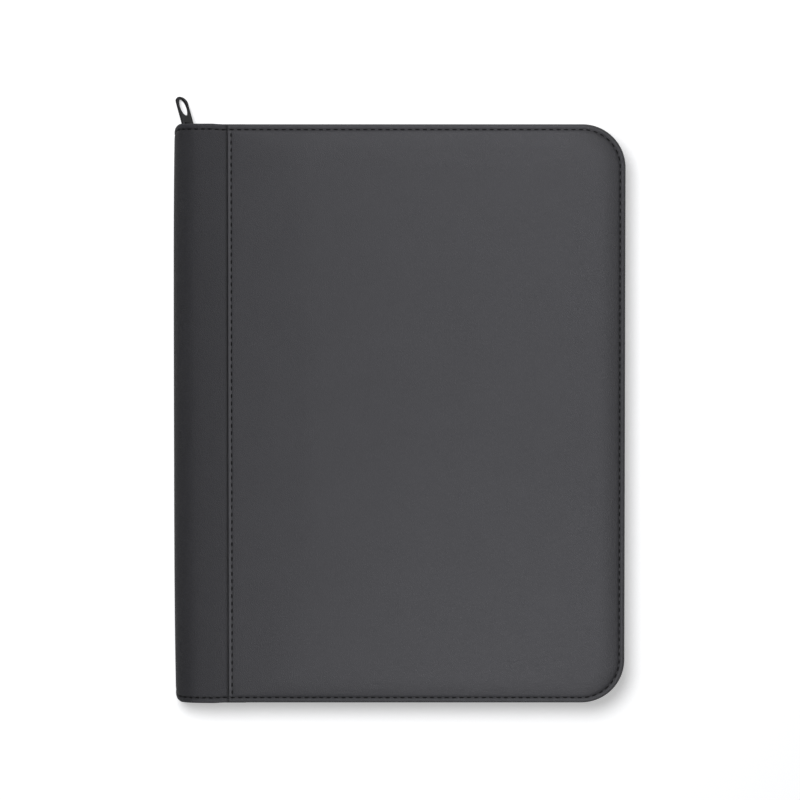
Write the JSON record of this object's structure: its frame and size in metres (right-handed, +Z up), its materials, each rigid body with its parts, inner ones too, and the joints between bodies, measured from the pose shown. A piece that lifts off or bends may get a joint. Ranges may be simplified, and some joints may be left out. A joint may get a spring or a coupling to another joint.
{
  "type": "zippered padfolio",
  "caption": "Charcoal leatherette portfolio case that zips round its edges, opens like a book about a soft spine and holds a writing pad, a pen and papers.",
  "frame": {"origin": "on the rear cover's flat outer face, at the middle of the closed case's plan", "axes": "+Z up through the front cover, +Y to the head where the zipper pull is, +X to the fore edge, spine on the -X side"},
  "size_m": [0.2601, 0.3507, 0.0294],
  "materials": {
    "leather": "matte, fine grain",
    "foam": "matte",
    "board": "matte",
    "lining": "matte weave",
    "zipper_tape": "matte weave",
    "zipper_teeth": "satin",
    "slider_metal": "semi-gloss",
    "pull_metal": "semi-gloss",
    "pocket_leather": "matte, fine grain",
    "clear_film": "gloss",
    "elastic": "ribbed",
    "pad_board": "matte",
    "paper": "matte",
    "pad_binding": "matte"
  },
  "bodies": {
    "rear_cover": {"rear_cover_panel": "leather", "rear_foam": "foam", "rear_board": "board", "rear_lining": "lining", "rear_spine_band": "leather", "zipper_tape_rear": "zipper_tape", "zipper_teeth_rear": "zipper_teeth", "zipper_retainer": "zipper_teeth", "pad_sleeve": "pocket_leather", "pen_loop": "elastic"},
    "spine": {"spine_panel": "leather", "spine_foam": "foam", "spine_lining": "lining"},
    "front_cover": {"front_cover_panel": "leather", "front_foam": "foam", "front_board": "board", "front_lining": "lining", "front_spine_band": "leather", "zipper_tape_front": "zipper_tape", "zipper_teeth_front": "zipper_teeth", "document_pocket": "pocket_leather", "card_pocket_1": "pocket_leather", "card_pocket_2": "pocket_leather", "card_pocket_3": "pocket_leather", "id_window_frame": "pocket_leather", "id_window_film": "clear_film"},
    "slider": {"slider_body": "slider_metal", "slider_bail": "slider_metal"},
    "pull": {"pull_tab": "pull_metal"},
    "notepad": {"notepad_backing": "pad_board", "notepad_sheets": "paper", "notepad_binding": "pad_binding"}
  },
  "joints": [
    {"name": "spine_fold_rear", "type": "hinge", "parent": "rear_cover", "child": "spine", "pos_m": [-0.12635, 0, 0.00465], "axis": [0, -1, 0], "range_deg": [0, 90], "deforming": ["zipper_teeth_front"]},
    {"name": "spine_fold_front", "type": "hinge", "parent": "spine", "child": "front_cover", "pos_m": [-0.12635, 0, 0.02335], "axis": [0, -1, 0], "range_deg": [0, 90], "deforming": ["zipper_teeth_front"]},
    {"name": "slider_travel", "type": "slide", "parent": "rear_cover", "child": "slider", "axis": [1, 0, 0], "range_m": [0, 0.215], "deforming": ["zipper_teeth_rear", "zipper_teeth_front"]},
    {"name": "pull_swing", "type": "hinge", "parent": "slider", "child": "pull", "pos_m": [-0.1206, 0.1668, 0.014], "axis": [1, 0, 0], "range_deg": [-20, 35]},
    {"name": "pad_slide", "type": "slide", "parent": "rear_cover", "child": "notepad", "axis": [0, 1, 0], "range_m": [0, 0.02]}
  ],
  "couplings": [
    {"joint": "spine_fold_rear", "follows": "spine_fold_front", "ratio": 1}
  ]
}
